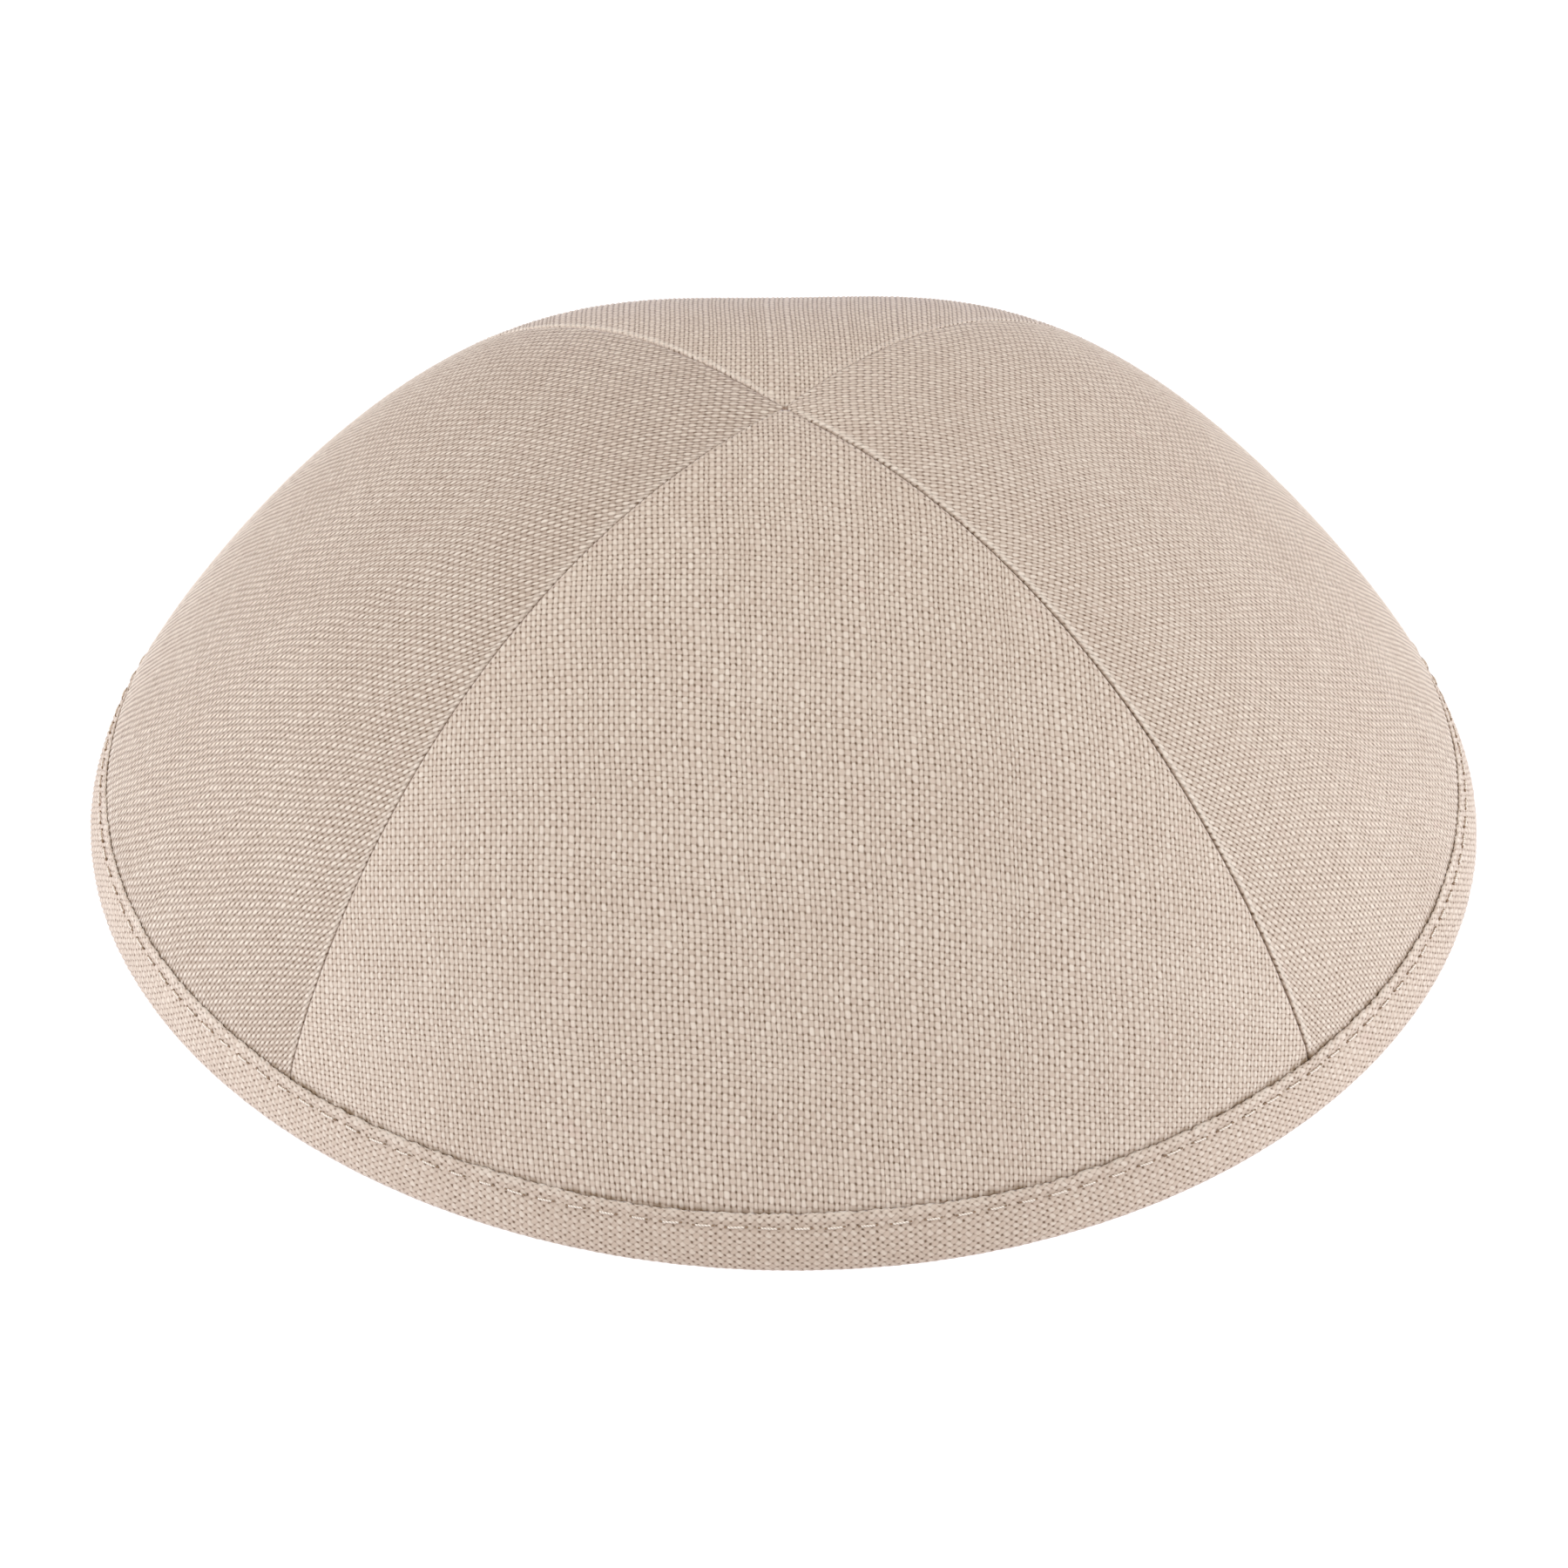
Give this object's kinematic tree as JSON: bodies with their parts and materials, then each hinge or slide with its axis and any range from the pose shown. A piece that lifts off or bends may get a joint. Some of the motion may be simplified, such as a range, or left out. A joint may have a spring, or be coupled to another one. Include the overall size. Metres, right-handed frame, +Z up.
{
  "type": "linen skullcap",
  "caption": "Low domed skullcap of plain linen panels that meet at the crown, with a topstitched bias binding folded over the rim, worn on the crown of the head.",
  "frame": {"origin": "on the surface that the cap stands on, under the middle of the rim's box", "axes": "+Z up through the crown, -Y towards the front panel, +X towards the right-hand panel as seen from the front"},
  "size_m": [0.1618, 0.1586, 0.0555],
  "materials": {
    "linen_panel": "natural beige linen in a plain weave with slubs, matt",
    "linen_binding": "the same linen cut on the bias, matt"
  },
  "bodies": {
    "root": {"panel_front": "linen_panel", "panel_right": "linen_panel", "panel_back": "linen_panel", "panel_left": "linen_panel", "rim_binding": "linen_binding"}
  },
  "joints": []
}
